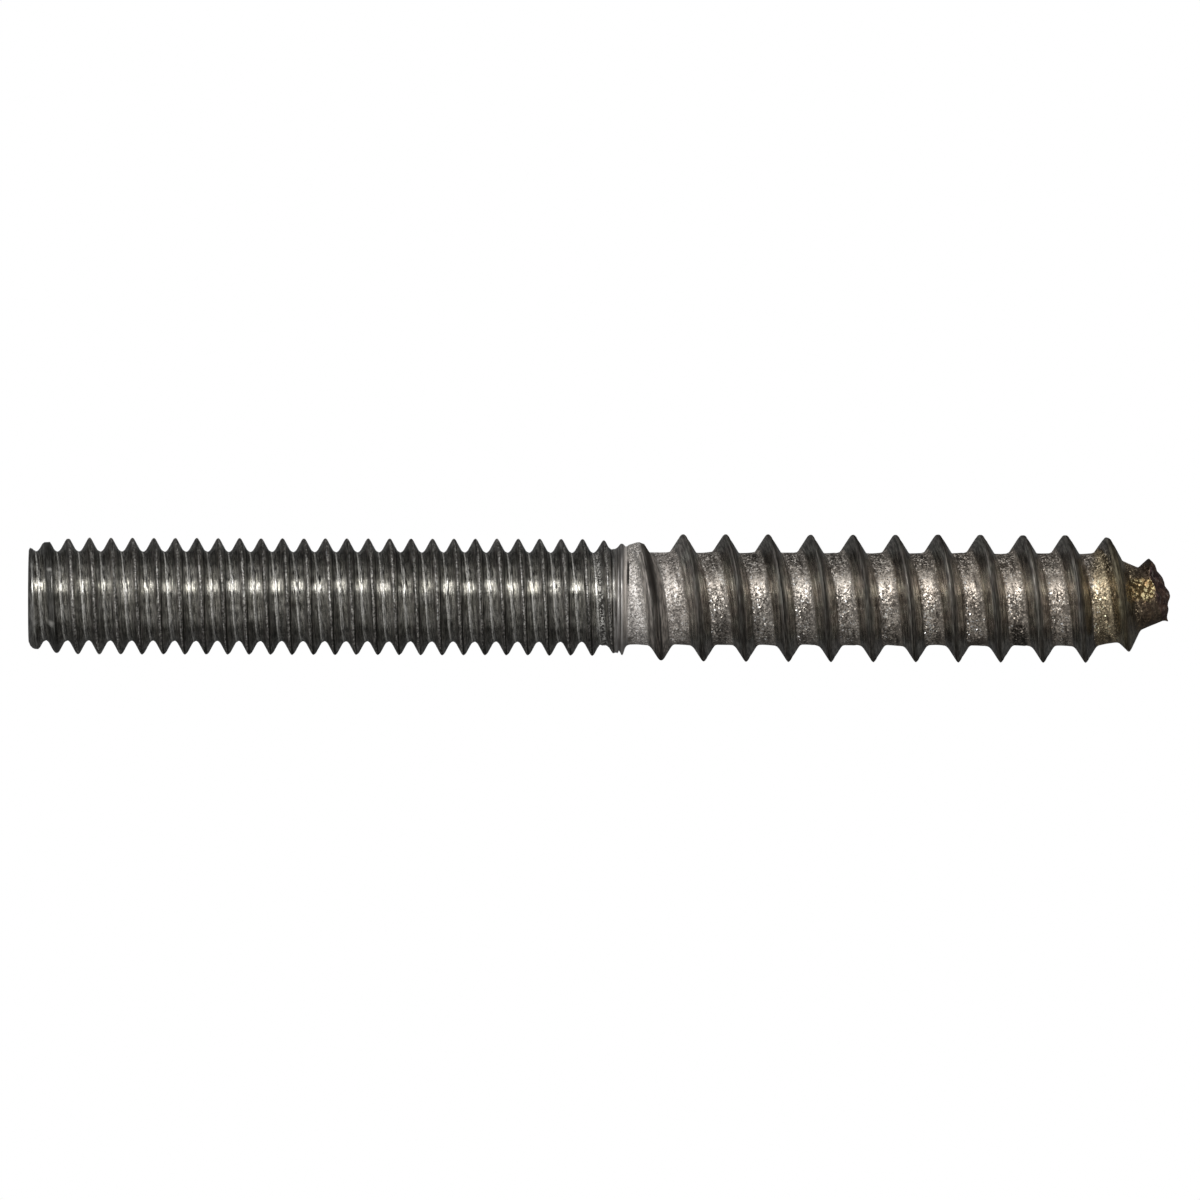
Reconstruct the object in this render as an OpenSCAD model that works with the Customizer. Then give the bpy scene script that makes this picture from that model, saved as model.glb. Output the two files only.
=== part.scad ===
// Hanger bolt: one piece of cold-rolled steel, lying along +X.
// A machine thread starts at the flat end face, which is at the origin. A coarse wood thread
// follows behind a low collar, and its gimlet point has broken off. Both threads are right-handed.

/* [Machine thread] */
// Diameter over the crests
machine_d = 7.68; // [6.4:0.02:9.4]
// Distance from crest to crest
machine_pitch = 1.411; // [1.15:0.001:1.7]
// Width of the flat on each crest
machine_crest_w = 0.13; // [0.08:0.01:0.2]
// Width of the flat in each root
machine_root_w = 0.24; // [0.15:0.01:0.35]
// Length from the end face to the last full thread
machine_length = 37; // [20:0.1:60]
// Length over which the thread runs out, before the collar
runout_l = 1.6; // [1:0.1:2.5]

/* [Machine end] */
// Diameter of the flat end face
end_face_d = 5.9; // [4.8:0.05:7]
// Length of the chamfer behind the end face
end_chamfer_l = 0.46; // [0.2:0.01:0.8]
// Diameter at the back of the chamfer
end_chamfer_d = 7; // [5.8:0.05:8.4]
// Length over which the first crests fill up
end_lead_l = 2.8; // [1:0.1:5]
// Distance from the end face to the first crest, on the +Y side
machine_first_crest = 1.15; // [0.2:0.05:1.4]

/* [Collar] */
// Diameter of the unrolled blank
blank_d = 6.8; // [6:0.05:8]
// Diameter of the ring that the dies push up
collar_d = 7.2; // [6.6:0.05:8.6]
// Width of the flat on the ring
collar_w = 0.16; // [0.1:0.01:0.3]
// Length of each side of the ring
collar_side_l = 0.34; // [0.2:0.01:0.6]

/* [Wood thread] */
// Diameter over the crests
wood_d = 8.4; // [7:0.05:10.2]
// Diameter of the core
wood_core_d = 6.06; // [5:0.02:7]
// Distance from crest to crest
wood_pitch = 2.795; // [2.3:0.005:3.4]
// Width of the flat on each crest
wood_crest_w = 0.11; // [0.08:0.01:0.2]
// Radius of the fillet where a flank meets the core
wood_fillet_r = 0.3; // [0.1:0.05:0.4]
// Length of the thread from the collar to the point's cone
wood_length = 31.9; // [15:0.1:50]
// Length over which the first crest fills up
wood_lead_l = 2.7; // [1:0.1:6]
// Distance from the collar to the first crest, on the +Y side
wood_first_crest = 1.2; // [0:0.05:2.7]

/* [Broken point] */
// Angle between the cone's side and the axis
point_angle = 23; // [12:0.5:30]
// Length of cone that is left, on the axis
point_l = 3.8; // [1.5:0.1:4.5]
// Share of the thread's height that is lost by the break
point_thread_loss = 0.6; // [0:0.05:0.8]
// Lean of the broken face
break_angle = 13; // [0:1:25]
// Height of the bumps on the broken face
break_rough = 0.16; // [0:0.01:0.25]

/* [Surface] */
// Flat facets around the bolt
facets = 24; // [16:4:32]

/* [Hidden] */

// Both threads have a 60 degree form, so a flank moves this far along for each unit of height.
flank_run = tan(30);
// Rows nearer than this to a boundary are merged into it.
merge_gap = 0.05;
// Stock beyond the end face, which the saw cut takes off.
sawn_l = 0.4;
// A crest stays at least this far above its root.
least_height = 0.06;

machine_r = machine_d / 2;
machine_depth = (machine_pitch - machine_crest_w - machine_root_w) / 2 / flank_run;
machine_root_r = machine_r - machine_depth;
runout_end = machine_length + runout_l;
// Share of the thread's form that is left where it meets the collar.
runout_share = 0.45;

collar_start = runout_end + collar_side_l;
collar_end = collar_start + collar_w;
wood_start = collar_end + collar_side_l;

wood_depth = (wood_d - wood_core_d) / 2;
cone_start = collar_end + wood_length;
break_x = cone_start + point_l;
// A crest starts from the blank's own surface and fills up from there.
wood_lead_height = max(least_height, (blank_d - wood_core_d) / 2);
// Chords in each fillet, which turns through the flank's 60 degrees.
fillet_chords = 2;

// Machine thread: the crest's and the root's radius where their middle is at x.
function runout(x) = lookup(x, [[machine_length, 1], [runout_end, runout_share]]);
function end_cap_r(x) = lookup(x, [
    [-sawn_l, end_face_d / 2],
    [0, end_face_d / 2],
    [end_chamfer_l, end_chamfer_d / 2],
    [end_lead_l, machine_r]
]);
function machine_low(x) = blank_d / 2 + (machine_root_r - blank_d / 2) * runout(x);
function machine_top(x) = max(
    min(end_cap_r(x), blank_d / 2 + (machine_r - blank_d / 2) * runout(x)),
    machine_low(x) + least_height
);

// The rows [x, radius] of the turn of machine thread whose crest is at c.
function machine_turn(c) =
    let (
        top = machine_top(c),
        top_half = machine_crest_w / 2 + (machine_r - top) * flank_run,
        mid = c + machine_pitch / 2,
        low = machine_low(mid),
        low_half = machine_root_w / 2 + (low - machine_root_r) * flank_run
    )
    [[c - top_half, top], [c + top_half, top], [mid - low_half, low], [mid + low_half, low]];

// Wood thread: the core's radius at x, and the full and the filled height of a crest at x.
function core_r(x) = wood_core_d / 2 - max(0, x - cone_start) * tan(point_angle);
function full_height(x) = wood_depth * (1 - point_thread_loss * max(0, x - cone_start) / point_l);
function filled_height(x) = min(
    full_height(x),
    lookup(x, [[wood_start, wood_lead_height], [wood_start + wood_lead_l, wood_depth]])
);

// The rows of a fillet between the core and a flank whose foot is at x. Side is 1 where the
// flank comes down to the core, and -1 where it goes up from it.
function fillet(x, side) = [
    for (k = [0 : fillet_chords])
        let (
            share = k / fillet_chords,
            a = 60 * (side > 0 ? 1 - share : share),
            row_x = x + side * wood_fillet_r * (tan(30) - sin(a))
        )
        [row_x, core_r(row_x) + wood_fillet_r * (1 - cos(a))]
];

// The rows of the turn of wood thread whose crest is at c: the crest, then the gap after it.
function wood_foot(c) = wood_crest_w / 2 + full_height(c) * flank_run;
function wood_turn(c) =
    let (
        height = filled_height(c),
        top_half = wood_crest_w / 2 + (full_height(c) - height) * flank_run,
        next = c + wood_pitch
    )
    [
        [c - top_half, core_r(c) + height],
        [c + top_half, core_r(c) + height],
        each fillet(c + wood_foot(c), 1),
        each fillet(next - wood_foot(next), -1)
    ];

// A helical stretch's turns, from one that ends before lo to one that starts after hi.
function first_turn(crest, pitch, lo) = -ceil((crest - lo) / pitch) - 1;
function last_turn(crest, pitch, hi) = ceil((hi - crest) / pitch);
machine_lo = -sawn_l;
machine_turns = [
    first_turn(machine_first_crest, machine_pitch, machine_lo)
    : last_turn(machine_first_crest, machine_pitch, runout_end)
];
wood_crest = collar_end + wood_first_crest;
wood_turns = [
    first_turn(wood_crest, wood_pitch, wood_start)
    : last_turn(wood_crest, wood_pitch, break_x)
];

function machine_rows(i) = [
    for (t = machine_turns) each machine_turn(machine_first_crest + machine_pitch * (t + turn_share(i)))
];
function wood_rows(i) = [
    for (t = wood_turns) each wood_turn(wood_crest + wood_pitch * (t + turn_share(i)))
];

// Columns stand half a facet off the axes, so that one flat facet faces straight down.
function turn_share(i) = (i + 0.5) / facets;
function angle_at(i) = 360 * turn_share(i);

// The broken face: it leans, and each ring of it has bumps of its own, two facets wide.
break_rings = 3;
bumps = [
    for (k = [0 : break_rings])
        let (heights = rands(-break_rough, break_rough, facets / 2, 7 + k))
        [for (i = [0 : facets - 1]) (heights[floor(i / 2)] + heights[ceil(i / 2) % (facets / 2)]) / 2]
];
function rim_x(i) =
    break_x - core_r(break_x) * tan(break_angle) * cos(angle_at(i)) + bumps[0][i];
function broken_rows(i, rim_r) = [
    for (k = [1 : break_rings - 1])
        let (share = 1 - k / break_rings)
        [break_x + (rim_x(i) - break_x) * share + bumps[k][i], rim_r * share]
];

// One column of rows, from the sawn end to the middle ring of the broken face. A boundary row
// stands before and after each helical stretch.
function column(i) =
    let (
        machine = machine_rows(i),
        wood = wood_rows(i),
        rim = [rim_x(i), lookup(rim_x(i), wood)]
    )
    [
        [machine_lo, lookup(machine_lo, machine)],
        each machine,
        [runout_end, blank_d / 2],
        [collar_start, collar_d / 2],
        [collar_end, collar_d / 2],
        [wood_start, lookup(wood_start, wood)],
        each wood,
        rim,
        each broken_rows(i, rim[1])
    ];

columns = [for (i = [0 : facets - 1]) column(i)];
rows = len(columns[0]);
// Helical stretches as [row before, row after, rows in a turn].
machine_stretch = [0, len(machine_rows(0)) + 1, len(machine_turn(0))];
wood_row = machine_stretch[1] + 3;
wood_stretch = [wood_row, wood_row + len(wood_rows(0)) + 1, len(wood_turn(0))];

function stretch_of(j) =
    j > machine_stretch[0] && j < machine_stretch[1] ? machine_stretch
    : j > wood_stretch[0] && j < wood_stretch[1] ? wood_stretch
    : undef;

// The row that row j of column i is merged into, where a boundary cuts the helix off.
function merged(i, j) =
    let (s = stretch_of(j), x = columns[i][j][0])
    is_undef(s) ? j
    : x < columns[i][s[0]][0] + merge_gap ? s[0]
    : x > columns[i][s[1]][0] - merge_gap ? s[1]
    : j;
function vertex(i, j) = i * rows + merged(i, j);

// One turn on, a helical row meets the row that is a pitch further along the first column.
function across(i, j) =
    let (s = stretch_of(j))
    i + 1 < facets ? vertex(i + 1, j)
    : is_undef(s) ? vertex(0, j)
    : vertex(0, min(j + s[2], s[1]));

function triangle(a, b, c) = a == b || b == c || c == a ? [] : [[a, b, c]];

module skin() {
    points = [
        for (i = [0 : facets - 1], p = columns[i])
            [p[0], p[1] * cos(angle_at(i)), p[1] * sin(angle_at(i))],
        [break_x + bumps[break_rings][0], 0, 0]
    ];
    sides = [
        for (i = [0 : facets - 1], j = [0 : rows - 2])
            each concat(
                triangle(vertex(i, j), across(i, j + 1), vertex(i, j + 1)),
                triangle(vertex(i, j), across(i, j), across(i, j + 1))
            )
    ];
    sawn_face = [for (i = [0 : facets - 1]) vertex(i, 0)];
    broken_middle = [
        for (i = [0 : facets - 1]) [vertex(i, rows - 1), across(i, rows - 1), len(points) - 1]
    ];
    polyhedron(points, concat([sawn_face], sides, broken_middle), convexity = 10);
}

module hanger_bolt() {
    color([0.38, 0.36, 0.33])
    difference() {
        skin();
        // The saw cut that leaves the flat end face.
        translate([-2 * sawn_l, -machine_d, -machine_d])
            cube([2 * sawn_l, 2 * machine_d, 2 * machine_d]);
    }
}

hanger_bolt();
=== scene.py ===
import math

import bmesh
import bpy
import numpy as np
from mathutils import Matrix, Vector


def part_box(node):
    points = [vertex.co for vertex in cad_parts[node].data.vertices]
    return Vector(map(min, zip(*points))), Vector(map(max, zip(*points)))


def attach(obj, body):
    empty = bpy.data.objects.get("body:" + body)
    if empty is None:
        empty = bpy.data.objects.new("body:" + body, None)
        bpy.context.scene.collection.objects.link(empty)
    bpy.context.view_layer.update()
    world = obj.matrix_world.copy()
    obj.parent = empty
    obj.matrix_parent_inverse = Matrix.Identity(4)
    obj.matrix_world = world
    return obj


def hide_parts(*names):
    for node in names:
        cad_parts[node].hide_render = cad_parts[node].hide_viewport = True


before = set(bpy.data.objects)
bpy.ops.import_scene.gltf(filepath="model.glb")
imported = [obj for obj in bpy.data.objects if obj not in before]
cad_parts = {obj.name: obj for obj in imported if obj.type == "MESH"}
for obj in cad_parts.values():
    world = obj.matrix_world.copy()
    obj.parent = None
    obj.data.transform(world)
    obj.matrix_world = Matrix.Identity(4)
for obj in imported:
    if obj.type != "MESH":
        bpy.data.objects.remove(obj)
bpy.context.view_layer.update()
MM = 0.001

# ---------------------------------------------------------------------------------------------
# The bolt's skin. One piece of steel wire, cold-rolled between flat dies: a right-handed machine
# thread runs from the sawn end to a low collar, and a coarse wood thread from there to the
# gimlet point, which has snapped off. Sizes are in millimetres.

columns = 112
share = np.arange(columns + 1) / columns
angle = 2 * np.pi * share

machine_pitch = 1.4113
machine_first = 1.15
machine_r = 3.845
machine_root_r = 2.93
machine_apex_r = 3.98
machine_half_angle = math.radians(27.7)
machine_end = 38.55
machine_crest_blend = 0.14
machine_root_blend = 0.3
machine_lap_depth = 0.05
machine_bead_height = 0.022

collar_x = 39.03
collar_end = 39.56
crack_x = 39.46
crack_depth = 0.2
crack_half_width = 0.045
crack_angle = math.radians(65)
crack_spread = math.radians(13)

wood_pitch = 2.7955
wood_first = 40.28
wood_r = 4.2
wood_core_r = 3.03
wood_apex_r = 4.27
wood_back_angle = math.radians(32.5)
wood_front_angle = math.radians(30.5)
wood_crest_blend = 0.12
wood_lap_depth = 0.06
wood_fold_depth = 0.04
trench_depth = 0.42
crest_taper_x = 70.1
core_taper_x = 70.3
neck_x = 71.6


def smooth_step(value, lo, hi):
    """0 at lo, 1 at hi, and an S-shaped cubic between. With lo above hi it falls instead."""
    t = np.clip((value - lo) / (hi - lo), 0, 1)
    return t * t * (3 - 2 * t)


def smooth_min(a, b, blend):
    """The smaller of a and b, with the corner where they cross rounded by a parabola."""
    near = np.maximum(blend - np.abs(a - b), 0)
    return np.minimum(a, b) - near * near / (4 * blend)


def smooth_max(a, b, blend):
    """The larger of a and b, with the corner rounded in the same way."""
    return -smooth_min(-a, -b, blend)


def bump(value, centre, half_width):
    """A bell of height 1 at centre, which is down to 1/e at half_width."""
    return np.exp(-(((value - centre) / half_width) ** 2))


def ripple(x, a, seed, waves=6, turns=7, per_mm=4.0):
    """Seeded unevenness, mostly between -1 and 1: a sum of sine waves, each a whole number of
    times round the bolt and at its own slope along it."""
    rng = np.random.default_rng(seed)
    total = 0
    for _ in range(waves):
        times_round = rng.integers(1, turns + 1)
        slope = rng.uniform(-per_mm, per_mm)
        phase = rng.uniform(0, 2 * np.pi)
        total = total + np.sin(times_round * a + slope * x + phase)
    return total / math.sqrt(waves)


def machine_sway(part_turn):
    """How far the machine thread's crest strays from a true helix: a sway once a turn."""
    return 0.02 * np.cos(2 * np.pi * part_turn)


def wood_sway(part_turn):
    """The wood thread strays further: the two dies push its crest along twice in a turn."""
    return 0.03 * np.cos(2 * np.pi * part_turn) + 0.24 * np.sin(2 * np.pi * part_turn) ** 2


def lane(x, part_turn, first, pitch, sway):
    """Turns of thread passed since the first crest, and the axial distance from the nearest
    crest, in mm. Crests lie where x = first + pitch * (whole turns + part_turn) + sway."""
    passed = (x - first - sway(part_turn)) / pitch - part_turn
    nearest = np.round(passed)
    return nearest + part_turn, (passed - nearest) * pitch


def machine_lap(x, part_turn, off):
    """0 to 1 along the lap where the two rolled-up lips of a crest meet, on its +X side."""
    broken_up = 0.75 + 0.25 * ripple(x, 2 * np.pi * part_turn, 5)
    centre = 0.22 + 0.16 * np.cos(2 * np.pi * part_turn)
    return bump(off, centre, 0.055) * smooth_step(x, 5, 9) * broken_up


def machine_bead(off):
    """0 to 1 along the fine bead that a worn die leaves beside the middle of the root."""
    from_root = np.where(off > 0, off - machine_pitch / 2, off + machine_pitch / 2)
    return bump(from_root, -0.08, 0.062)


def machine_radius(x, part_turn, off):
    """A V: the height falls with distance from the crest, and smooth_min and smooth_max round it
    off at crest and root. It fills up over the first crests, and in the last turn the whole
    tooth sinks and its roots are shallower."""
    a = 2 * np.pi * part_turn
    shallow = smooth_step(x, 37.1, 37.9) * 0.24
    first_x = [0, 0.11, 0.24, 0.4, 1.3, 1.8, 2.6, 3.2]
    first_r = [2.98, 3.28, 3.43, 3.5, 3.54, 3.76, 3.77, machine_r]
    begins = np.interp(x, first_x, first_r)
    sunk = np.interp(x, [37.2, 38.3], [0, 0.15])
    ends = np.minimum(begins, machine_r - sunk)
    crest = ends + 0.012 * ripple(x, a, 3)
    root = machine_root_r + shallow + 0.008 * ripple(x, a, 4)
    flank = machine_apex_r - sunk - np.abs(off) / math.tan(machine_half_angle)
    lap = machine_lap_depth * machine_lap(x, part_turn, off)
    bead = machine_bead_height * machine_bead(off) * (1 + 0.5 * ripple(x, a, 16, turns=20, per_mm=8))
    tooth = smooth_min(flank, crest, machine_crest_blend)
    return smooth_max(tooth, root, machine_root_blend) - lap + bead


def wood_turns(x, off):
    """How many turns of the wood thread have passed at the nearest crest."""
    return (x - off - wood_first) / wood_pitch


def wood_lap(x, off):
    """0 to 1 along the lap beside each full crest."""
    return bump(off, 0.14, 0.03) * smooth_step(wood_turns(x, off), 0.7, 1.2)


def trench(x, part_turn, off):
    """0 to 1 along the trench that the unfilled first crest leaves between its two lips."""
    a = 2 * np.pi * part_turn
    along = np.interp(wood_turns(x, off), [0.02, 0.14, 0.3, 0.42], [0, 1, 1, 0])
    across = (off + 0.02 - 0.04 * ripple(x, a, 8)) / (0.21 + 0.03 * ripple(x, a, 12))
    return along * np.exp(-(across**4))


def fold(x, part_turn, off):
    """0 to 1 along a thin fold that runs here and there beside the root's +X edge."""
    a = 2 * np.pi * part_turn
    there = smooth_step(ripple(x, a, 13, turns=2, per_mm=0.6), -0.2, 0.5)
    return there * bump(off, -1.1 + 0.07 * ripple(x, a, 14, turns=5, per_mm=1.5), 0.035)


def wood_radius(x, part_turn, off):
    """A tooth on a wide flat root: as the machine thread, but the V stands on the core, and its
    back, towards the collar, leans more. The first crest isn't filled, so that a trench runs
    along it, and near the end the core narrows to the broken point."""
    a = 2 * np.pi * part_turn
    turn = wood_turns(x, off)
    off = off - 0.09 * smooth_step(x, 71, 72.5)
    narrowing = 0.2 * np.maximum(x - core_taper_x, 0) + 0.27 * np.maximum(x - neck_x, 0)
    core = wood_core_r - narrowing - 0.06 * np.cos(a) + 0.018 * ripple(x, a, 6, turns=9)
    core = core + 0.05 * smooth_step(np.where(off < 0, off + wood_pitch, off), 1.1, 2.2)
    crest_cone = wood_r - 0.177 * np.maximum(x - crest_taper_x, 0) ** 1.65
    crest = np.interp(turn, [-0.45, 0, 0.5, 1.0], [3.42, 3.68, 4.12, wood_r])
    crest = crest + 0.3 * np.minimum(off + 0.2, 0) * smooth_step(turn, 0.25, 0.1)
    crest = np.minimum(crest, crest_cone) - 0.02 * np.cos(a) + 0.015 * ripple(x, a, 7)
    off = off + 0.3 * smooth_step(turn, 0.5, 0.0)
    upper = (1 + np.cos(a)) / 2
    apex = crest_cone - wood_r + wood_apex_r + 0.08 * upper * smooth_step(x, 56, 60)
    front = apex - off / math.tan(wood_front_angle)
    front = np.minimum(front, 3.8 - 0.8 * off + 2.5 * smooth_step(turn, 0.02, 0.3))
    back = apex + 0.1 * upper + off / math.tan(wood_back_angle)
    tooth = smooth_min(np.minimum(front, back), crest, wood_crest_blend)
    ridge = smooth_max(tooth, core, 0.14 + 0.1 * (1 - np.cos(a)))
    sunk = trench_depth * trench(x, part_turn, off) * (1 + 0.1 * ripple(x, a, 15, turns=12))
    sunk = sunk + wood_lap_depth * wood_lap(x, off) + wood_fold_depth * fold(x, part_turn, off)
    return np.maximum(ridge - sunk, core - 0.15)


def crack(x, part_turn):
    """0 to 1 along the short crack behind the collar, which runs a little way round the bolt."""
    round_it = bump(2 * np.pi * part_turn, crack_angle, crack_spread)
    return bump(x, crack_x, crack_half_width) * round_it


def collar_radius(x, part_turn):
    """The blank's own surface between the threads, with the ragged ring that the dies' edges
    pushed up."""
    a = 2 * np.pi * part_turn
    ragged = 0.035 * ripple(x, a, 9, turns=11)
    under = (1 - np.cos(a)) / 2
    ring = (0.2 + 0.33 * under + ragged) * bump(x, collar_x + 0.05 * under, 0.22 - 0.06 * under)
    flat = (0.2 * under + ragged) * smooth_step(x, 38.3, 38.45) * smooth_step(x, 38.95, 38.75)
    base = 3.24 + 0.2 * under * smooth_step(x, 39.1, 38.8)
    base = base + 0.12 * (1 - under) * smooth_step(x, 38.7, 39.0)
    notch = 0.1 * bump(x, 38.86, 0.04) * under
    return base + ring + flat - notch


def radius(x, part_turn):
    """The whole bolt's radius: the machine thread, the collar and the wood thread, each blended
    into the next over a short stretch, less the crack."""
    _, machine_off = lane(x, part_turn, machine_first, machine_pitch, machine_sway)
    _, wood_off = lane(x, part_turn, wood_first, wood_pitch, wood_sway)
    r = machine_radius(x, part_turn, machine_off)
    to_collar = smooth_step(x, 38.45, 38.8)
    r = r * (1 - to_collar) + collar_radius(x, part_turn) * to_collar
    to_wood = smooth_step(x, 39.15, 39.6)
    r = r * (1 - to_wood) + wood_radius(x, part_turn, wood_off) * to_wood
    return r - crack_depth * crack(x, part_turn)


# Distances along the thread are measured for the map at this radius, between crest and root.
map_r = 3.5


def helical_rows(offsets, first, pitch, sway, start, end):
    """Rows that follow a thread: row r of turn t stands at first + pitch * (t + share) +
    sway + offset, held between start and end. Returns x, and U and V for the map, which are
    the distance along the thread and across it."""
    lowest, highest = np.min(start), np.max(end)
    first_turn = math.floor((lowest - first) / pitch) - 1
    last_turn = math.ceil((highest - first) / pitch) + 1
    turns = np.arange(first_turn, last_turn)
    total = turns[:, None, None] + share[None, None, :]
    x = first + pitch * total + sway(share)[None, None, :] + offsets[None, :, None]
    u = 2 * np.pi * map_r * total + 0 * x
    v = offsets[None, :, None] + 0 * x
    flat = (-1, columns + 1)
    return np.clip(x.reshape(flat), start, end), u.reshape(flat), v.reshape(flat)


def ring_rows(places):
    """Plain rings at the given places along the bolt."""
    x = np.asarray(places)[:, None] + 0 * share[None, :]
    return x, 2 * np.pi * map_r * share[None, :] + 0 * x, x.copy()


# Rows lie closer where the surface bends: at the crest, the lap, the bead and the root.
half = machine_pitch / 2
side = np.array([0.05, 0.1, 0.16, 0.29, 0.46, 0.54])
rising = [-half, -0.64, *-side[::-1]]
falling = [*side[:3], 0.21, *side[3:], 0.59, 0.63, 0.67, half]
machine_offsets = np.array([*rising, 0, *falling])
half = wood_pitch / 2
side = np.array([0.04, 0.09, 0.16, 0.3, 0.5, 0.6, 0.68, 0.76, 0.88, 1.1, 1.25])
wood_offsets = np.array([-half, *-side[::-1], 0, *side[:2], 0.12, *side[2:], half])
ring_spacing = 0.045

# The broken rim: it leans, and it is ragged.
rim_middle_x = 74.4
rim_x = rim_middle_x - 0.55 * np.cos(angle) - 0.2 * np.maximum(np.sin(angle), 0)
rim_x = rim_x + 0.11 * ripple(0, angle, 21, waves=7, turns=9)

parts = [
    helical_rows(machine_offsets, machine_first, machine_pitch, machine_sway, 0.0, machine_end),
    ring_rows(np.arange(machine_end, collar_end + 0.01, ring_spacing)),
    helical_rows(wood_offsets, wood_first, wood_pitch, wood_sway, collar_end, rim_x),
]
x, u, v = (np.concatenate([p[k] for p in parts]) for k in range(3))
r = radius(x, share[None, :] + 0 * x)

# End caps: rings that shrink to the axis, flat at the sawn end and lumpy at the broken one.
inner = np.array([0.97, 0.85, 0.6, 0.3, 0.0])
end_x = np.zeros((len(inner), columns + 1))
end_r = inner[:, None] * r[0][None, :]
steps = np.array([0.94, 0.86, 0.77, 0.67, 0.56, 0.45, 0.34, 0.23, 0.12, 0.0])
break_r = steps[:, None] * r[-1][None, :]


def lumps(y, z, seed, waves=14):
    """Seeded lumps over a plane: a sum of sine waves that run in all directions across it, with
    1 to 3 mm between their tops."""
    rng = np.random.default_rng(seed)
    total = 0
    for _ in range(waves):
        towards = rng.uniform(0, 2 * np.pi)
        per_mm = rng.uniform(2, 6.5)
        phase = rng.uniform(0, 2 * np.pi)
        total = total + np.sin(per_mm * (y * math.cos(towards) + z * math.sin(towards)) + phase)
    return total / math.sqrt(waves)


# The face rises from the rim to the tip in a blunt dome, and the lumps die out at the rim.
tip_x = 75.0
bluntness = 1.6
lump_height = 0.16
lump = lumps(break_r * np.cos(angle), break_r * np.sin(angle), 31) * (1 - steps[:, None] ** 6)
break_x = tip_x + (rim_x[None, :] - tip_x) * steps[:, None] ** bluntness + lump_height * lump
skin_rows = len(x)
x = np.concatenate([end_x[::-1], x, break_x])
r = np.concatenate([end_r[::-1], r, break_r])
u = np.concatenate([end_x, u, break_x])
v = np.concatenate([end_r, v, break_r])
first_skin_row = len(inner)


def grid_mesh(name, x, r, u, v):
    """Joins a grid of (x, radius) rows and columns into one mesh about the X axis, which is closed once
    its points at the same place are merged. The map keeps its own U and V at every corner, so it runs
    on across the seam."""
    rows, cols = x.shape
    y, z = r * np.cos(angle), r * np.sin(angle)
    points = np.stack([x, y, z], axis=-1).reshape(-1, 3) * MM
    a = (np.arange(rows - 1)[:, None] * cols + np.arange(cols - 1)[None, :]).ravel()
    quads = np.stack([a, a + 1, a + cols + 1, a + cols], axis=1)
    mesh = bpy.data.meshes.new(name)
    mesh.from_pydata(points, [], quads.tolist())
    uv = np.stack([u.ravel(), v.ravel()], axis=1)[quads.ravel()] * MM
    layer = mesh.uv_layers.new(name="thread")
    layer.data.foreach_set("uv", uv.ravel().astype(np.float32))
    row = np.repeat(np.arange(rows - 1), cols - 1)
    slots = np.where(row < first_skin_row, 1, np.where(row >= first_skin_row + skin_rows - 1, 2, 0))
    mesh.polygons.foreach_set("material_index", slots.astype(np.int32))
    mesh.polygons.foreach_set("use_smooth", np.ones(len(quads), bool))
    return mesh


mesh = grid_mesh("bolt", x, r, u, v)
bolt = bpy.data.objects.new("bolt", mesh)
bpy.context.scene.collection.objects.link(bolt)
merge_within = 2e-6
smallest_edge = 1e-6
work = bmesh.new()
work.from_mesh(mesh)
bmesh.ops.remove_doubles(work, verts=work.verts, dist=merge_within)
bmesh.ops.dissolve_degenerate(work, dist=smallest_edge, edges=work.edges)
bmesh.ops.recalc_face_normals(work, faces=work.faces)
work.to_mesh(mesh)
work.free()

# The masks that the finish is painted with, worked out at each point of the merged mesh.
points = np.empty(len(mesh.vertices) * 3, np.float32)
mesh.vertices.foreach_get("co", points)
points = points.reshape(-1, 3) / MM
x = points[:, 0].astype(float)
part_turn = np.arctan2(points[:, 2], points[:, 1]) / (2 * np.pi) % 1
on_wood = smooth_step(x, 39.3, 39.5)
_, machine_off = lane(x, part_turn, machine_first, machine_pitch, machine_sway)
_, wood_off = lane(x, part_turn, wood_first, wood_pitch, wood_sway)
turn = wood_turns(x, wood_off)
on_first_crest = smooth_step(turn, 0.0, 0.1) * smooth_step(turn, 0.62, 0.45)
before_crest = 0.42 * smooth_step(turn, 0.22, 0.05) + 0.3 * smooth_step(x - wood_off, 70.9, 71.6)
flat_start = 0.64 - before_crest * (wood_off < 0)


def disc(x, part_turn, at_x, at_degrees, half_width):
    """0 to 1 over a round spot on the machine thread."""
    round_x = (part_turn * 2 * np.pi - math.radians(at_degrees)) * machine_r
    return np.exp(-((((x - at_x) ** 2 + round_x**2) / half_width**2) ** 2))


in_chewed_root = smooth_step(part_turn, 0.0, 0.06) * smooth_step(part_turn, 0.8, 0.6)
machine_crest = bump(machine_off, 0.02, 0.17) * smooth_step(x, 1.8, 3.2) * (1 - on_wood)
wood_crest = bump(wood_off, 0.02, 0.14) * on_wood
wood_folds = wood_lap(x, wood_off) + fold(x, part_turn, wood_off)
foot_lines = bump(wood_off, 0.86, 0.15) + 0.5 * bump(wood_off, -0.8, 0.08)
back_strip = smooth_step(wood_off, -1.2, -1.08) * (wood_off < 0)
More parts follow.
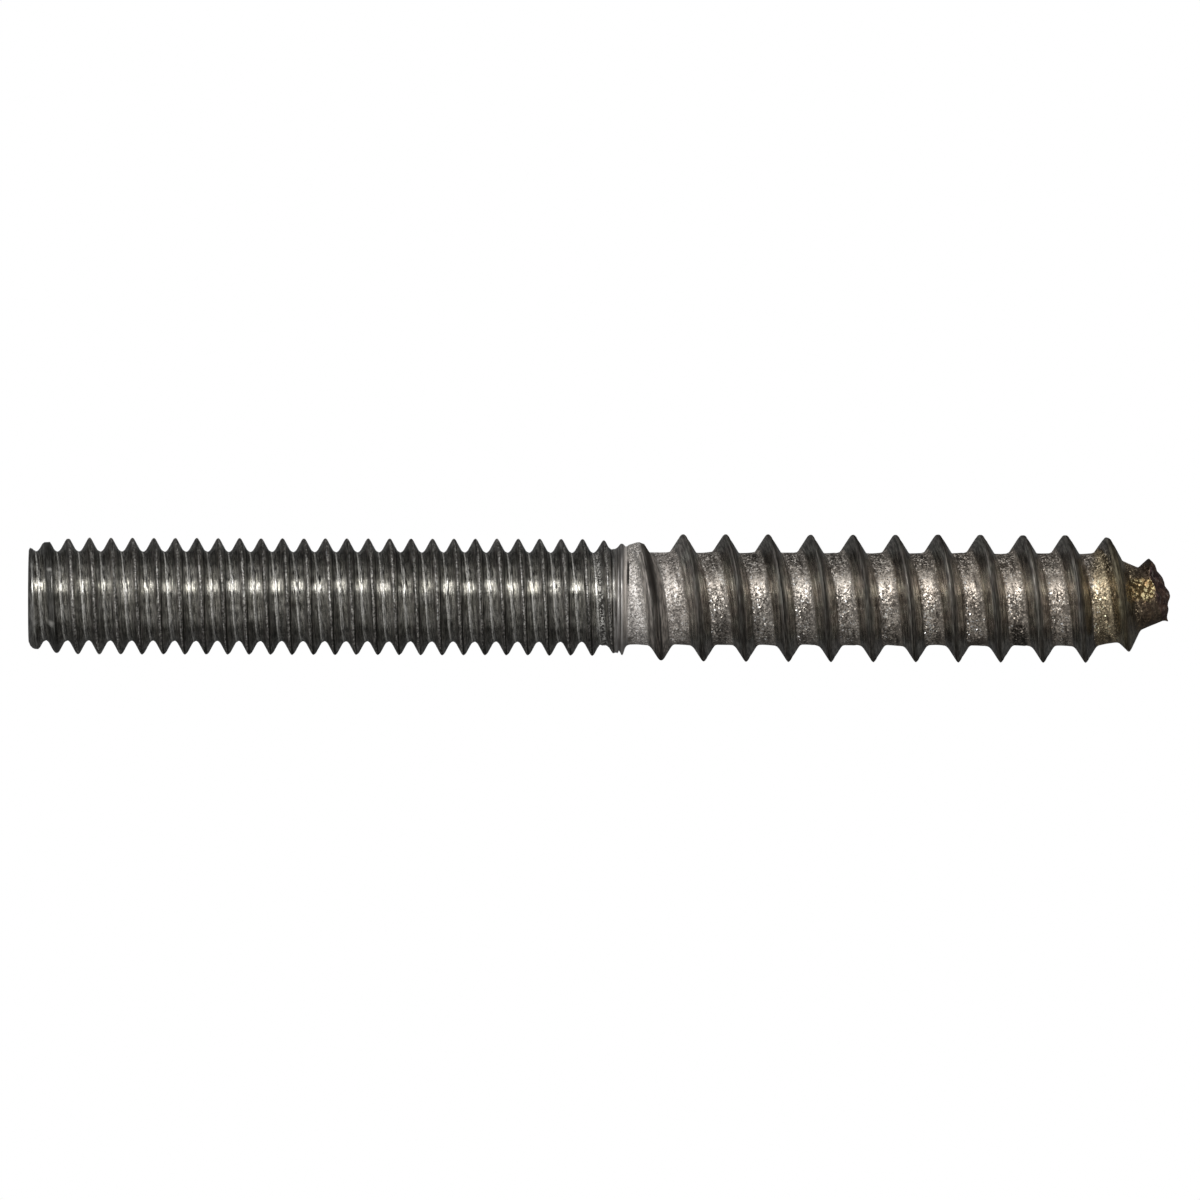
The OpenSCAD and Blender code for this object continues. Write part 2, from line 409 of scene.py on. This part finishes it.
# Each pale disc's strength, place along the bolt, degrees round it and half width.
pale_discs = ((1.0, 1.5, 120, 0.22), (1.0, 1.4, 61, 0.14), (0.6, 0.45, 121, 0.18), (0.3, 2.9, 119, 0.2))
pale_spots = sum(strength * disc(x, part_turn, *spot) for strength, *spot in pale_discs)
masks = {
    "flat": on_wood * smooth_step(np.abs(wood_off), flat_start, flat_start + 0.14),
    "crest": machine_crest + wood_crest,
    "unfilled": on_wood * on_first_crest * smooth_step(np.abs(wood_off), 0.75, 0.62),
    "lap": 0.3 * machine_lap(x, part_turn, machine_off) * (1 - on_wood)
    + wood_folds * on_wood
    + bump(wood_off, 0.68, 0.05) * on_wood * 0.5
    + trench(x, part_turn, wood_off) * on_wood
    # The crack is darkened with the laps: painted shade in it.
    + crack(x, part_turn),
    "bead": machine_bead(machine_off) * (1 - on_wood),
    "chewed": bump(x - machine_pitch * part_turn, 37.3, 0.17) * in_chewed_root,
    "calm": on_wood * np.maximum(back_strip, smooth_step(x, 45, 41)),
    "frosted": on_wood * smooth_step(x, 45.0, 40.5),
    "foot": on_wood * foot_lines * smooth_step(x, 43, 44),
    "pale": pale_spots + 0.4 * bump(wood_off, -0.82, 0.09) * on_wood,
    "collar": smooth_step(x, 38.5, 38.7) * smooth_step(x, 39.5, 39.35),
}
for name, mask in masks.items():
    layer = mesh.attributes.new(name, "FLOAT", "POINT")
    layer.data.foreach_set("value", np.clip(mask, 0, 1).astype(np.float32))


def add(tree, kind, inputs=None, **properties):
    """A new node. An input that is given another node's socket is linked; any other is set."""
    made = tree.nodes.new("ShaderNode" + kind)
    for name, value in properties.items():
        setattr(made, name, value)
    for name, value in (inputs or {}).items():
        if isinstance(value, bpy.types.NodeSocket):
            tree.links.new(value, made.inputs[name])
        else:
            made.inputs[name].default_value = value
    return made


def calc(tree, operation, a, b=0.0, c=0.0):
    """One step of arithmetic. MULTIPLY_ADD gives a * b + c."""
    return add(tree, "Math", {0: a, 1: b, 2: c}, operation=operation).outputs[0]


def product(tree, first, *factors):
    """All the values multiplied together."""
    total = first
    for factor in factors:
        total = calc(tree, "MULTIPLY", total, factor)
    return total


def largest(tree, first, *others):
    """The largest of the values."""
    most = first
    for other in others:
        most = calc(tree, "MAXIMUM", most, other)
    return most


def apart(tree, value, centre):
    """How far value is from centre, on either side."""
    return calc(tree, "ABSOLUTE", calc(tree, "SUBTRACT", value, centre))


def fade(tree, value, lo, hi, at_lo=0.0, at_hi=1.0):
    """An S-shaped change from at_lo to at_hi as value goes from lo to hi."""
    inputs = {"Value": value, "From Min": lo, "From Max": hi, "To Min": at_lo, "To Max": at_hi}
    return add(tree, "MapRange", inputs, interpolation_type="SMOOTHSTEP").outputs["Result"]


def mixed(tree, share, a, b, blend="MIX"):
    """Colour a where share is 0 and b where it is 1, or a blended with b in another way."""
    node = add(tree, "Mix", {0: share}, data_type="RGBA", blend_type=blend)
    for socket, value in ((node.inputs[6], a), (node.inputs[7], b)):
        if isinstance(value, bpy.types.NodeSocket):
            tree.links.new(value, socket)
        else:
            socket.default_value = (*value, 1)
    return node.outputs[2]


def noise(tree, vector, scale, detail=3.0, roughness=0.6):
    """Soft cloudy noise around 0.5, with about scale clouds to each unit of the vector."""
    inputs = {"Vector": vector, "Scale": scale, "Detail": detail, "Roughness": roughness}
    return add(tree, "TexNoise", inputs).outputs["Fac"]


def mask_of(tree, name):
    """One of the mesh's masks."""
    return add(tree, "Attribute", attribute_name=name).outputs["Fac"]


def new_group(name, takes, gives):
    """A node group with float inputs, each with its usual value, and outputs of given kinds."""
    group = bpy.data.node_groups.new(name, "ShaderNodeTree")
    for socket_name, usual in takes.items():
        socket = group.interface.new_socket(socket_name, in_out="INPUT", socket_type="NodeSocketFloat")
        socket.default_value = usual
    for socket_name, kind in gives.items():
        group.interface.new_socket(socket_name, in_out="OUTPUT", socket_type="NodeSocket" + kind)
    return group, group.nodes.new("NodeGroupInput"), group.nodes.new("NodeGroupOutput")


def place(tree, group, **inputs):
    """A node group put into the tree, with some of its inputs set or linked. Gives its outputs."""
    node = tree.nodes.new("ShaderNodeGroup")
    node.node_tree = group
    for name, value in inputs.items():
        socket = node.inputs[name.replace("_", " ")]
        if isinstance(value, bpy.types.NodeSocket):
            tree.links.new(value, socket)
        else:
            socket.default_value = value
    return node.outputs


# Grain: each crystal-sized facet of the surface leans its own way and has its own shade.
grain, given, out = new_group(
    "steel_grain",
    {"Scale": 8000.0, "Tilt": 0.3, "Sparkle": 0.5},
    {"Shade": "Float", "Dark": "Float", "Normal": "Vector"},
)
where = add(grain, "TexCoord").outputs["Object"]
wander = add(grain, "TexNoise", {"Vector": where, "Scale": 6000.0, "Detail": 2.0}).outputs["Color"]
wander = add(grain, "VectorMath", {0: wander, "Scale": 0.00006}, operation="SCALE").outputs[0]
cells_at = add(grain, "VectorMath", {0: where, 1: wander}, operation="ADD").outputs[0]
cell = add(grain, "TexVoronoi", {"Vector": cells_at, "Scale": given.outputs["Scale"]})
shades = add(grain, "SeparateColor", {0: cell.outputs["Color"]}).outputs
picked = fade(grain, shades[2], 0.8, 0.92, 0.0, given.outputs["Sparkle"])
amount = calc(grain, "ADD", picked, given.outputs["Tilt"])
lean = add(grain, "VectorMath", {0: cell.outputs["Color"], 1: (0.5, 0.5, 0.5)}, operation="SUBTRACT")
lean = add(grain, "VectorMath", {0: lean.outputs[0], "Scale": amount}, operation="SCALE")
facing = add(grain, "NewGeometry").outputs["Normal"]
leaning = add(grain, "VectorMath", {0: facing, 1: lean.outputs[0]}, operation="ADD")
leaning = add(grain, "VectorMath", {0: leaning.outputs[0]}, operation="NORMALIZE")
grain.links.new(leaning.outputs[0], out.inputs["Normal"])
grain.links.new(shades[1], out.inputs["Shade"])
grain.links.new(fade(grain, noise(grain, where, 7000.0, 4.0, 0.8), 0.5, 0.62), out.inputs["Dark"])

# Streaks: fine lines along the thread, which the dies' own scratches leave.
streaks, given, out = new_group(
    "rolling_streaks",
    {"Along": 150.0, "Across": 7000.0},
    {"Mask": "Float", "Fine": "Float", "Broad": "Float"},
)
along_thread = add(streaks, "UVMap", uv_map="thread").outputs["UV"]
stretch = add(streaks, "CombineXYZ", {0: given.outputs["Along"], 1: given.outputs["Across"], 2: 1.0})
lines_at = add(streaks, "VectorMath", {0: along_thread, 1: stretch.outputs[0]}, operation="MULTIPLY")
streaks.links.new(noise(streaks, lines_at.outputs[0], 1.0, 3.0, 0.75), out.inputs["Mask"])
finer = add(streaks, "VectorMath", {0: lines_at.outputs[0], 1: (9.0, 1.6, 1.0)}, operation="MULTIPLY")
streaks.links.new(noise(streaks, finer.outputs[0], 1.0, 2.0, 0.6), out.inputs["Fine"])
wider = add(streaks, "VectorMath", {0: lines_at.outputs[0], 1: (2.4, 0.3, 1.0)}, operation="MULTIPLY")
streaks.links.new(noise(streaks, wider.outputs[0], 1.0, 3.0, 0.6), out.inputs["Broad"])

# Heat: towards the broken point the steel is straw-yellow, then gold and brown. The hottest tint and
# the gold sparkles in it lie only in the band where the key light's highlight falls, so they are heat
# colour and painted highlight both.
heat, given, out = new_group(
    "heat_colours",
    {"Evenness": 0.5},
    {"Straw": "Float", "Brown": "Float", "Hot Glint Band": "Float", "Gold": "Float"},
)
where = add(heat, "TexCoord").outputs["Object"]
along, up = (add(heat, "SeparateXYZ", {0: where}).outputs[axis] for axis in "XY")
uneven = calc(heat, "SUBTRACT", noise(heat, where, 900.0, 3.0), given.outputs["Evenness"])
uneven = calc(heat, "MULTIPLY", uneven, 0.0012)
along = calc(heat, "ADD", along, uneven)
heat.links.new(fade(heat, along, 0.0695, 0.0705), out.inputs["Straw"])
heat.links.new(fade(heat, along, 0.0718, 0.0735), out.inputs["Brown"])
hot_glint_band = calc(heat, "MULTIPLY", fade(heat, along, 0.0722, 0.0729), fade(heat, along, 0.0743, 0.0740))
# The band between these two edges is where the key light's highlight falls: painted highlight.
upper_side = fade(heat, up, -0.0003, 0.0002, 0.03, 1.0)
below_edge = fade(heat, up, 0.0016, 0.0011)
hot_glint_band = calc(heat, "MULTIPLY", hot_glint_band, calc(heat, "MINIMUM", upper_side, below_edge))
bright_cell = fade(heat, noise(heat, where, 3800.0, 2.0), 0.53, 0.57)
heat.links.new(hot_glint_band, out.inputs["Hot Glint Band"])
heat.links.new(calc(heat, "MULTIPLY", bright_cell, hot_glint_band), out.inputs["Gold"])


def bare_metal(name):
    """A new material of bare metal: the material, its tree, its shader and the place on the object."""
    material = bpy.data.materials.new(name)
    material.use_nodes = True
    tree = material.node_tree
    steel = tree.nodes["Principled BSDF"]
    steel.inputs["Metallic"].default_value = 1.0
    return material, tree, steel, add(tree, "TexCoord").outputs["Object"]


# Along runs from the sawn end to the break, up is towards +Y, near is height, and across is the
# distance across the thread from its crest. All are in metres.
rolled, tree, steel, where = bare_metal("rolled_steel")
flat, crest, unfilled, lap, bead, chewed, calm, frosted, foot, pale, collar = (
    mask_of(tree, name) for name in masks
)
along, up, near = (add(tree, "SeparateXYZ", {0: where}).outputs[axis] for axis in "XYZ")
thread_place = add(tree, "UVMap", uv_map="thread").outputs["UV"]
across = add(tree, "SeparateXYZ", {0: thread_place}).outputs["Y"]
on_wood = fade(tree, along, 0.0388, 0.0396)
on_machine = calc(tree, "SUBTRACT", 1.0, on_wood)

# The grain leans and sparkles more on the flats than on the threads. It leans most near the
# break, and sparkles most in the chewed root and at the foot of each crest.
torn = fade(tree, along, 0.0718, 0.0728)
tilt = fade(tree, flat, 0.0, 1.0, 0.02, calc(tree, "MULTIPLY_ADD", calm, -0.1, 0.3))
tilt = calc(tree, "MULTIPLY_ADD", torn, 0.35, tilt)
sparkle = fade(tree, flat, 0.0, 1.0, 0.05, calc(tree, "MULTIPLY_ADD", calm, -0.7, 1.3))
sparkle = calc(tree, "MULTIPLY_ADD", chewed, 1.4, sparkle)
sparkle = calc(tree, "MULTIPLY_ADD", foot, 0.7, sparkle)
fine_grain = place(tree, grain, Scale=12000.0, Tilt=tilt, Sparkle=sparkle)
lines = place(tree, streaks)
tints = place(tree, heat)
patches = noise(tree, where, 900.0, 4.0, 0.6)
dirt = fade(tree, noise(tree, where, 430.0, 5.0, 0.65), 0.56, 0.66)


def hairline(tree, across, at, half_width):
    """On the machine thread, 1 on the line that runs along it at a distance across it."""
    line = fade(tree, apart(tree, across, at), half_width * 0.4, half_width, 1.0, 0.0)
    return calc(tree, "MULTIPLY", on_machine, line)


# The dark seam beside the crests, which comes and goes, and a painted highlight along the bead's top in
# the root.
seam_at = calc(tree, "MULTIPLY_ADD", up, 0.043, 0.00022)
bead_top_at = 0.000625
line_half_width = 0.00006
seam = product(
    tree,
    hairline(tree, across, seam_at, line_half_width),
    fade(tree, along, 0.004, 0.009),
    fade(tree, lines["Broad"], 0.3, 0.5, 0.45, 0.95),
)
bead_highlight = product(
    tree,
    hairline(tree, across, bead_top_at, line_half_width),
    fade(tree, lines["Broad"], 0.35, 0.55, 0.4, 1.0),
    fade(tree, fine_grain["Shade"], 0.3, 0.6, 0.55, 1.0),
)


def shaded(tree, colour, *factors):
    """The colour made lighter and darker by the product of the factors."""
    level = product(tree, *factors)
    grey = add(tree, "CombineColor", {0: level, 1: level, 2: level}).outputs[0]
    return mixed(tree, 1.0, colour, grey, "MULTIPLY")


# The threads: patchy grey, speckled crests, the dark trench, and the dies' lines over it all.
glint = (1.0, 0.98, 0.93)
near_black = (0.03, 0.027, 0.024)
machine_colour = mixed(tree, fade(tree, patches, 0.35, 0.65), (0.5, 0.49, 0.465), (0.37, 0.36, 0.33))
thread_colour = mixed(tree, fade(tree, patches, 0.4, 0.6), (0.54, 0.537, 0.493), (0.43, 0.402, 0.374))
thread_colour = mixed(tree, on_wood, machine_colour, thread_colour)
light_cell = fade(tree, fine_grain["Shade"], 0.35, 0.75)
specks = mixed(tree, light_cell, (0.09, 0.085, 0.078), (0.56, 0.54, 0.5))
specks = mixed(tree, on_wood, specks, (0.05, 0.048, 0.043))
thread_colour = mixed(tree, calc(tree, "MULTIPLY", crest, 0.9), thread_colour, specks)
from_middle = calc(tree, "ABSOLUTE", across)
bottom = product(
    tree,
    fade(tree, from_middle, 0.0002, 0.00034, 1.0, 0.0),
    fade(tree, lines["Broad"], 0.4, 0.6, 0.75, 1.0),
)
trench_colour = mixed(tree, bottom, (0.3, 0.27, 0.245), (0.035, 0.028, 0.022))
thread_colour = mixed(tree, calc(tree, "MULTIPLY", unfilled, 0.85), thread_colour, trench_colour)
weakest = calc(tree, "MULTIPLY_ADD", crest, -0.3, 0.52)
strongest = calc(tree, "MULTIPLY_ADD", crest, 0.5, 1.5)
coarse_lines = fade(tree, lines["Mask"], 0.3, 0.7, weakest, strongest)
# Painted highlight: in the machine thread's root, the dies' lines get far more contrast, lighter and
# darker, only in a band along the side towards the key light, where its glint falls.
glint_band = fade(tree, apart(tree, up, 0.0009), 0.0006, 0.0012, 1.0, 0.35)
in_root = product(tree, on_machine, fade(tree, from_middle, 0.00038, 0.00055), glint_band)
dimmest_line = calc(tree, "MULTIPLY_ADD", in_root, -0.5, 0.55)
brightest_line = calc(tree, "MULTIPLY_ADD", in_root, 0.5, 1.4)
fine_lines = fade(tree, lines["Fine"], 0.36, 0.64, dimmest_line, brightest_line)
thread_colour = shaded(tree, thread_colour, coarse_lines, fine_lines)

# The wood thread's flats: frosted by the collar, then speckled, with pits, dirt and one stain.
flat_colour = mixed(tree, fade(tree, patches, 0.3, 0.7), (0.62, 0.595, 0.555), (0.46, 0.43, 0.395))
flat_colour = mixed(tree, calc(tree, "MULTIPLY", frosted, 0.85), flat_colour, (0.84, 0.8, 0.77))
# The flats' speckles are the grain's own shades. On their upper side, towards the key light, they get
# more contrast and brighter glitter, which is painted sparkle.
upper = fade(tree, up, 0.0010, 0.0022)
dimmest_speck = calc(tree, "MULTIPLY_ADD", upper, -0.25, 0.45)
brightest_speck = calc(tree, "MULTIPLY_ADD", calm, -0.2, 1.55)
speckled = fade(tree, fine_grain["Shade"], 0.0, 1.0, dimmest_speck, brightest_speck)
glitter = calc(tree, "MULTIPLY_ADD", foot, 0.8, 0.7)
glitter = calc(tree, "MULTIPLY_ADD", upper, 0.9, glitter)
glitter = calc(tree, "MULTIPLY_ADD", fade(tree, fine_grain["Shade"], 0.9, 0.97), glitter, 1.0)
# Painted shade: the flats are darker in a band along their middle, just below where the key light's
# highlight falls, and a little less dark where they are frosted.
shade_band_level = calc(tree, "MULTIPLY_ADD", frosted, 0.2, 0.78)
painted_shade_band = fade(tree, calc(tree, "ABSOLUTE", up), 0.0003, 0.0009, shade_band_level, 1.0)
broad_lines = fade(tree, lines["Broad"], 0.3, 0.7, 0.55, 1.45)
flat_colour = shaded(tree, flat_colour, speckled, glitter, broad_lines, painted_shade_band)
pits = calc(tree, "MULTIPLY", fine_grain["Dark"], calc(tree, "MULTIPLY_ADD", calm, -0.4, 0.65))
pits = calc(tree, "MAXIMUM", pits, calc(tree, "MULTIPLY", dirt, 0.75))
flat_colour = mixed(tree, pits, flat_colour, (0.1, 0.085, 0.07))
stain_at = 0.06525
stain_edge = calc(tree, "MULTIPLY_ADD", patches, 0.0009, -0.00045)
from_stain = calc(tree, "ADD", apart(tree, along, stain_at), stain_edge)
stain = product(
    tree,
    fade(tree, from_stain, 0.00035, 0.00065, 1.0, 0.0),
    fade(tree, up, -0.00185, -0.0015, 1.0, 0.0),
    fade(tree, fine_grain["Shade"], 0.55, 0.8, 0.93, 0.5),
)
flat_colour = mixed(tree, stain, flat_colour, (0.03, 0.026, 0.022))

# The last full crest is darker on its +X side. Then threads and flats come together.
darker_side = product(
    tree,
    fade(tree, along, 0.0675, 0.069),
    fade(tree, across, 0.0001, 0.0003, 0.0, 0.38),
    fade(tree, along, 0.0703, 0.0708, 1.0, 0.0),
)
thread_colour = mixed(tree, darker_side, thread_colour, (0.03, 0.03, 0.028))
colour = mixed(tree, flat, thread_colour, flat_colour)
# Painted sparkle: some grains on the flats' upper side, towards the key light, are painted near white.
painted_sparkle = product(tree, upper, flat, fade(tree, fine_grain["Shade"], 0.84, 0.88))
colour = mixed(tree, calc(tree, "MULTIPLY", painted_sparkle, 0.7), colour, (0.95, 0.93, 0.9))

# The machine thread's bead, its blunt dark first crest, and two fine lines: the painted highlight on
# the bead and the dark seam.
bead_colour = shaded(tree, (0.75, 0.73, 0.68), fine_lines)
colour = mixed(tree, calc(tree, "MULTIPLY", bead, 0.45), colour, bead_colour)
blunt = product(
    tree,
    fade(tree, along, 0.0009, 0.0012),
    fade(tree, along, 0.0024, 0.0021),
    hairline(tree, across, 0.0, 0.0004),
)
colour = mixed(tree, calc(tree, "MULTIPLY", blunt, 0.75), colour, (0.08, 0.078, 0.07))
colour = mixed(tree, bead_highlight, colour, glint)
colour = mixed(tree, seam, colour, near_black)

# The collar: pale rings, a painted highlight along its edge towards the wood thread, stronger towards
# +Y, and painted shade at the bottom of the crack. Then the dark laps of both threads, the specks in
# the chewed root, partly painted glints, and the pale discs.
edge_highlight_at = 0.03929
edge_highlight = product(
    tree,
    fade(tree, apart(tree, along, edge_highlight_at), 0.00004, 0.0001, 1.0, 0.0),
    fade(tree, up, -0.0026, 0.0012, 0.15, 0.85),
    fade(tree, fine_grain["Shade"], 0.3, 0.6, 0.6, 1.0),
)
crack_shade = product(
    tree,
    fade(tree, apart(tree, along, crack_x * MM), 0.00004, 0.00008, 1.0, 0.0),
    fade(tree, up, 0.00075, 0.001),
    fade(tree, up, 0.0021, 0.0027, 1.0, 0.3),
    fade(tree, near, 0.0, 0.0005),
)
ring_lines = fade(tree, lines["Mask"], 0.38, 0.62, 0.45, 1.1)
ring_colour = shaded(tree, (0.95, 0.91, 0.875), ring_lines)
colour = mixed(tree, calc(tree, "MULTIPLY", collar, 0.8), colour, ring_colour)
colour = mixed(tree, edge_highlight, colour, (1.0, 0.96, 0.92))
colour = mixed(tree, calc(tree, "MULTIPLY", lap, 0.9), colour, (0.04, 0.035, 0.03))
colour = mixed(tree, crack_shade, colour, (0.02, 0.017, 0.015))
# The chewed root: near-black pits and near-white grains of torn steel. The white grains are made matt,
# so they are partly painted glints.
bitten = fade(tree, fine_grain["Shade"], 0.62, 0.68)
bitten = mixed(tree, bitten, near_black, glint)
colour = mixed(tree, calc(tree, "MULTIPLY", chewed, 0.95), colour, bitten)
colour = mixed(tree, calc(tree, "MULTIPLY", pale, 0.9), colour, (0.6, 0.585, 0.55))

# The wood thread's steel is warmer the nearer it is to the break, then straw, brown and gold.
warm = mixed(tree, fade(tree, along, 0.050, 0.062), (1.0, 0.955, 0.915), (1.0, 0.93, 0.86))
warm = mixed(tree, fade(tree, along, 0.0405, 0.0425), (1.0, 0.985, 0.965), warm)
warm_flat = calc(tree, "MULTIPLY_ADD", flat, 0.7, 0.3)
warmed = calc(tree, "MAXIMUM", warm_flat, calc(tree, "MULTIPLY", crest, 0.8))
warmed = calc(tree, "MULTIPLY", on_wood, warmed)
colour = mixed(tree, warmed, colour, mixed(tree, 1.0, colour, warm, "MULTIPLY"))
straw = mixed(tree, 1.0, colour, (1.0, 0.91, 0.67), "MULTIPLY")
where_straw = calc(tree, "MAXIMUM", fade(tree, flat, 0.6, 1.0), fade(tree, along, 0.0707, 0.0714))
where_straw = calc(tree, "MULTIPLY", where_straw, 0.85)
colour = mixed(tree, calc(tree, "MULTIPLY", tints["Straw"], where_straw), colour, straw)
colour = mixed(tree, calc(tree, "MULTIPLY", tints["Brown"], 0.9), colour, (0.11, 0.078, 0.058))
# The hottest tint and the gold sparkles lie only in the key light's highlight band, as painted
# highlight on heat colour.
colour = mixed(tree, calc(tree, "MULTIPLY", tints["Hot Glint Band"], 0.85), colour, (0.15, 0.1, 0.04))
gold = mixed(tree, fade(tree, patches, 0.4, 0.6), (1.0, 0.58, 0.25), (1.0, 0.86, 0.48))
colour = mixed(tree, tints["Gold"], colour, gold)
tree.links.new(colour, steel.inputs["Base Color"])

# Where the surface is frosted, torn or scuffed it scatters light, so that it acts less as metal, and so
# do the painted sparkles and highlights, which then show away from the glint too.
# The flanks are smoothest. All the rest is rougher, the crests most but for their scratches.
fine_edges = calc(tree, "MULTIPLY", largest(tree, bead_highlight, edge_highlight), 0.75)
scattering = largest(tree, frosted, chewed, painted_sparkle, pale, tints["Gold"], fine_edges)
metal = calc(tree, "MULTIPLY_ADD", scattering, -0.6, 1.0)
tree.links.new(metal, steel.inputs["Metallic"])
flat_rough = calc(tree, "MULTIPLY_ADD", frosted, 0.2, 0.38)
rough = fade(tree, flat, 0.0, 1.0, 0.23, flat_rough)
rough = calc(tree, "MULTIPLY_ADD", calc(tree, "MULTIPLY", fine_grain["Dark"], flat), 0.12, rough)
crest_rough = calc(tree, "MULTIPLY_ADD", on_wood, 0.15, 0.3)
scratch = fade(tree, lines["Mask"], 0.56, 0.66, crest_rough, 0.12)
for mask, rougher in ((crest, scratch), (unfilled, 0.3), (lap, 0.2), (collar, 0.15), (pale, 0.3)):
    rough = calc(tree, "MULTIPLY_ADD", mask, rougher, rough)
tree.links.new(rough, steel.inputs["Roughness"])

# Relief too fine for the mesh: the dies' lines, and the chewed root's lumps.
height = calc(tree, "MULTIPLY_ADD", lines["Fine"], 0.5, lines["Mask"])
height = calc(tree, "MULTIPLY", height, fade(tree, flat, 0.0, 1.0, 1.0, 0.1))
lumpy = noise(tree, where, 3200.0, 4.0, 0.7)
lumpiness = calc(tree, "MULTIPLY_ADD", chewed, 2.0, 0.06)
height = calc(tree, "MULTIPLY_ADD", lumpy, lumpiness, height)
relief_depth = 0.00003
relief = {"Height": height, "Distance": relief_depth, "Normal": fine_grain["Normal"]}
tree.links.new(add(tree, "Bump", relief).outputs["Normal"], steel.inputs["Normal"])

# The sawn end: straight saw marks run across a duller face.
sawn, tree, steel, where = bare_metal("sawn_steel")
fine_grain = place(tree, grain, Scale=7000.0, Tilt=0.15)
squeeze = add(tree, "VectorMath", {0: where, 1: (1.0, 9.0, 1.3)}, operation="MULTIPLY")
marks = noise(tree, squeeze.outputs[0], 1500.0, 4.0, 0.65)
patches = noise(tree, where, 700.0, 4.0)
colour = mixed(tree, fade(tree, marks, 0.3, 0.7), (0.3, 0.29, 0.26), (0.46, 0.45, 0.42))
colour = mixed(tree, fade(tree, patches, 0.45, 0.7, 0.0, 0.6), colour, (0.2, 0.18, 0.155))
colour = mixed(tree, calc(tree, "MULTIPLY", fine_grain["Dark"], 0.5), colour, (0.1, 0.09, 0.08))
tree.links.new(colour, steel.inputs["Base Color"])
tree.links.new(fade(tree, marks, 0.3, 0.7, 0.5, 0.36), steel.inputs["Roughness"])
relief = add(tree, "Bump", {"Height": marks, "Distance": relief_depth, "Normal": fine_grain["Normal"]})
tree.links.new(relief.outputs["Normal"], steel.inputs["Normal"])

# The broken face: torn, oxidised steel with a few bright crystals.
broken, tree, steel, where = bare_metal("broken_steel")
torn = place(tree, grain, Scale=5500.0, Tilt=0.6)
patches = noise(tree, where, 1500.0, 4.0, 0.7)
colour = mixed(tree, fade(tree, patches, 0.35, 0.65), (0.09, 0.06, 0.06), (0.2, 0.13, 0.1))
colour = mixed(tree, fade(tree, torn["Shade"], 0.8, 0.9, 0.0, 0.8), colour, (0.34, 0.29, 0.25))
tree.links.new(colour, steel.inputs["Base Color"])
tree.links.new(fade(tree, patches, 0.3, 0.7, 0.48, 0.65), steel.inputs["Roughness"])
crystals = noise(tree, where, 3500.0, 4.0, 0.7)
relief = add(tree, "Bump", {"Height": crystals, "Distance": 0.00008, "Normal": torn["Normal"]})
tree.links.new(relief.outputs["Normal"], steel.inputs["Normal"])

for material in (rolled, sawn, broken):
    mesh.materials.append(material)

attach(bolt, "root")
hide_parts("hanger_bolt")

# ---------------------------------------------------------------------------------------------
# Floor, light and camera. None of it is part of the bolt. The floor lies at its lowest crests,
# and the camera looks straight down from far off, so that there is next to no perspective.

low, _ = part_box("hanger_bolt")
middle_x = 0.0376
floor_size = 4
floor_gap = 0.00004
bpy.ops.mesh.primitive_plane_add(size=floor_size, location=(0.04, 0, low.z - floor_gap))
floor = bpy.context.object
floor.name = "floor"
# The floor is white to the camera. Metal sees it as the shaded surface that it is under a part.
paint = bpy.data.materials.new("floor_white")
paint.use_nodes = True
tree = paint.node_tree
surface = tree.nodes["Material Output"].inputs["Surface"]
in_shade = add(tree, "BsdfDiffuse", {"Color": (0.08, 0.08, 0.08, 1)}).outputs[0]
white = add(tree, "Emission", {"Color": (1, 1, 1, 1), "Strength": 1.0}).outputs[0]
path = add(tree, "LightPath").outputs
mirrored_share = 0.04
mirrored = calc(tree, "MAXIMUM", path["Is Glossy Ray"], path["Is Transmission Ray"])
mirrored = calc(tree, "MULTIPLY", mirrored, mirrored_share)
seen = calc(tree, "MAXIMUM", path["Is Camera Ray"], mirrored)
tree.links.new(add(tree, "MixShader", {0: seen, 1: in_shade, 2: white}).outputs[0], surface)
floor.data.materials.append(paint)

# The room is brighter overhead and towards +Y than low down, and white to the camera.
world = bpy.data.worlds.new("room")
bpy.context.scene.world = world
world.use_nodes = True
tree = world.node_tree
direction = add(tree, "TexCoord").outputs["Generated"]
towards = add(tree, "VectorMath", {0: direction, 1: (0.0, 0.3, 0.954)}, operation="DOT_PRODUCT")
level = calc(tree, "MULTIPLY_ADD", towards.outputs["Value"], 0.17, 0.23)
to_camera = add(tree, "LightPath").outputs["Is Camera Ray"]
tree.links.new(calc(tree, "MAXIMUM", level, to_camera), tree.nodes["Background"].inputs["Strength"])
tree.nodes["Background"].inputs["Color"].default_value = (1, 1, 1, 1)

# One rectangular softbox, above the bolt and to its +Y side, turned towards its middle.
key_data = bpy.data.lights.new("key", "AREA")
key_data.shape = "RECTANGLE"
key_data.size = 0.4
key_data.size_y = 0.22
key_data.energy = 1.01
key = bpy.data.objects.new("key", key_data)
bpy.context.scene.collection.objects.link(key)
key.location = (middle_x, 0.228, 0.441)
aim = Vector((middle_x, 0, 0)) - key.location
key.rotation_euler = aim.to_track_quat("-Z", "Y").to_euler()

# The frame is 1200 pixels wide at 0.065848 mm each, and turned by a sixth of a degree.
pixels = 1200
mm_per_pixel = 0.065848
view_x = 37.612
view_y = -0.167
view_turn = math.radians(0.163)
frame_width = pixels * mm_per_pixel * MM
camera_data = bpy.data.cameras.new("camera")
camera_data.lens = 900
camera_data.sensor_width = 36
camera = bpy.data.objects.new("camera", camera_data)
bpy.context.scene.collection.objects.link(camera)
distance = camera_data.lens / camera_data.sensor_width * frame_width
camera.location = (view_x * MM, view_y * MM, distance)
camera.rotation_euler = (0, 0, view_turn)
bpy.context.scene.camera = camera

bpy.context.scene.view_settings.view_transform = "Standard"

bpy.context.view_layer.update()
